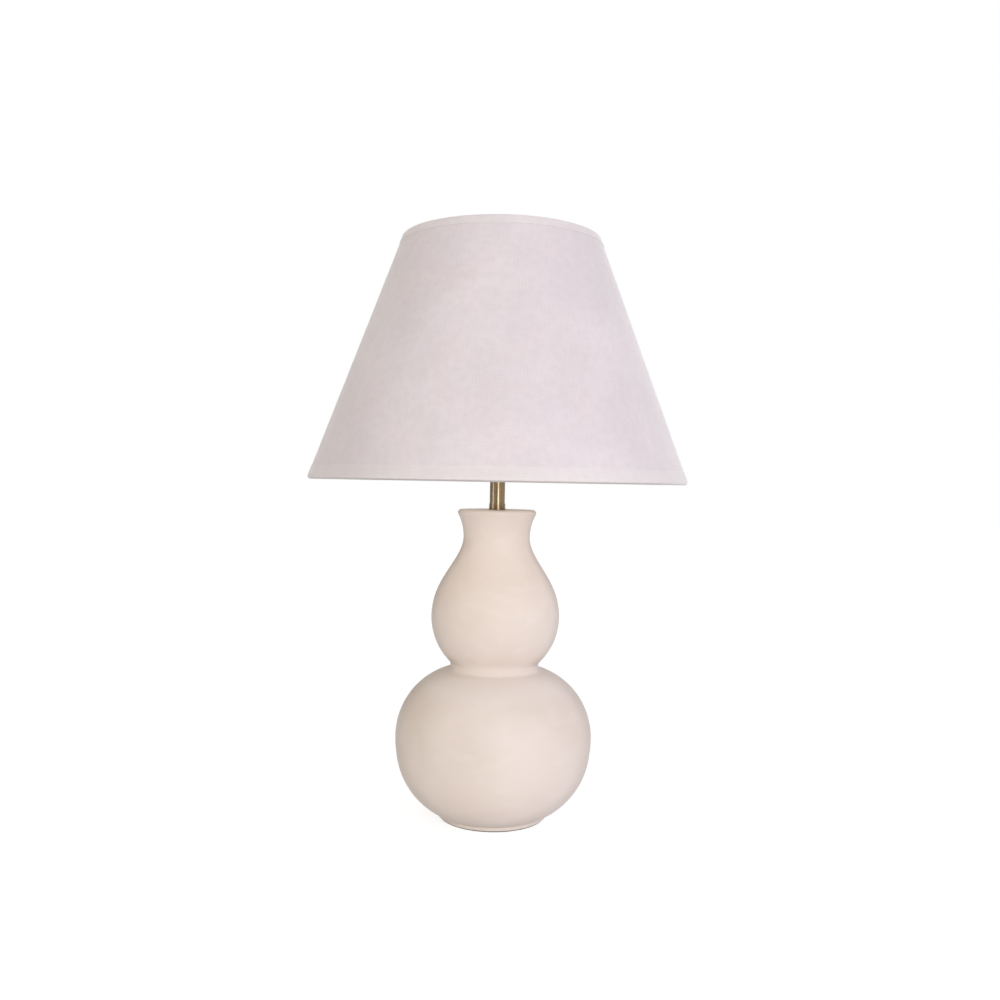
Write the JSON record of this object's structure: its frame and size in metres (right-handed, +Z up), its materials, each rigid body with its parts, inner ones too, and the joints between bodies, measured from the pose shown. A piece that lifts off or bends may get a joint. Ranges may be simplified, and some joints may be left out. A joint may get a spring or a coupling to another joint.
{
  "type": "table lamp",
  "caption": "Double gourd ceramic table lamp: brass stem, harp with screw-in bulb, turn switch and a tapered cloth shade on a swivelling spider.",
  "frame": {"origin": "centre of the foot on the surface the lamp stands on", "axes": "+Z up along the lamp's axis, -Y towards the front, cord outlet at the back on +Y"},
  "size_m": [0.3512, 0.3512, 0.5519],
  "materials": {
    "felt": "dense green-grey felt",
    "glaze": "matte cream glaze",
    "rubber": "moulded cream rubber",
    "zinc_steel": "zinc-plated steel",
    "antique_brass": "antique brass, brushed lengthwise",
    "polished_brass": "lacquered brass",
    "harp_brass": "brass-plated steel wire",
    "aluminium": "drawn aluminium",
    "card_liner": "dark insulating card",
    "black_plastic": "moulded black plastic",
    "opal_glass": "soft-white glass",
    "clear_glass": "clear glass",
    "tungsten": "drawn wire",
    "black_glass": "black insulating glass",
    "white_wire": "white-coated steel wire",
    "shade_lining": "white styrene sheet",
    "linen": "plain-weave linen blend",
    "binding_cloth": "self-fabric bias binding",
    "nylon": "turned nylon"
  },
  "bodies": {
    "lamp_base": {"base_felt": "felt", "ceramic_body": "glaze", "cord_outlet_bushing": "rubber", "bottom_plate": "zinc_steel", "bottom_lock_washer": "zinc_steel", "bottom_nut": "zinc_steel", "threaded_rod": "zinc_steel", "rod_centering_bush": "nylon", "stem_collar": "antique_brass", "stem_tube": "antique_brass", "harp_saddle": "harp_brass", "harp_wire": "harp_brass", "harp_stud": "polished_brass", "socket_cap": "polished_brass", "socket_set_screw": "zinc_steel", "socket_shell": "polished_brass", "socket_liner": "card_liner", "socket_block": "black_plastic", "terminal_screws": "polished_brass", "screw_shell": "aluminium", "socket_contact": "polished_brass"},
    "left_sleeve": {"harp_sleeve_left": "polished_brass"},
    "right_sleeve": {"harp_sleeve_right": "polished_brass"},
    "switch": {"switch_shaft": "zinc_steel", "switch_knob": "black_plastic"},
    "bulb_carrier": {"bulb_contact": "aluminium"},
    "bulb": {"bulb_insulator": "black_glass", "bulb_cap": "aluminium", "bulb_glass": "opal_glass", "bulb_stem": "clear_glass", "bulb_filament": "tungsten"},
    "shade": {"shade_spider": "white_wire", "shade_top_ring": "white_wire", "shade_bottom_ring": "white_wire", "shade_lining": "shade_lining", "shade_cloth": "linen", "shade_top_binding": "binding_cloth", "shade_bottom_binding": "binding_cloth"},
    "finial_carrier": {"finial_insert": "polished_brass"},
    "finial": {"finial_knob": "antique_brass"}
  },
  "joints": [
    {"name": "shade_swivel", "type": "hinge", "parent": "lamp_base", "child": "shade", "pos_m": [0, 0, 0.52555], "axis": [0, 0, 1], "continuous": true},
    {"name": "switch_turn", "type": "hinge", "parent": "lamp_base", "child": "switch", "pos_m": [0, -0.017, 0.34555], "axis": [0, -1, 0], "continuous": true},
    {"name": "left_sleeve_lift", "type": "slide", "parent": "lamp_base", "child": "left_sleeve", "axis": [0, 0, 1], "range_m": [0, 0.014]},
    {"name": "right_sleeve_lift", "type": "slide", "parent": "lamp_base", "child": "right_sleeve", "axis": [0, 0, 1], "range_m": [0, 0.014]},
    {"name": "bulb_rise", "type": "slide", "parent": "lamp_base", "child": "bulb_carrier", "axis": [0, 0, 1], "range_m": [0, 0.01815]},
    {"name": "bulb_turn", "type": "hinge", "parent": "bulb_carrier", "child": "bulb", "pos_m": [0, 0, 0.36005], "axis": [0, 0, 1], "range_deg": [0, 1805]},
    {"name": "finial_rise", "type": "slide", "parent": "lamp_base", "child": "finial_carrier", "axis": [0, 0, 1], "range_m": [0, 0.00846]},
    {"name": "finial_turn", "type": "hinge", "parent": "finial_carrier", "child": "finial", "pos_m": [0, 0, 0.52735], "axis": [0, 0, 1], "range_deg": [0, 3245]}
  ],
  "couplings": [
    {"joint": "bulb_turn", "follows": "bulb_rise", "rad_per_m": 1730.9},
    {"joint": "finial_turn", "follows": "finial_rise", "rad_per_m": 6684.2}
  ]
}
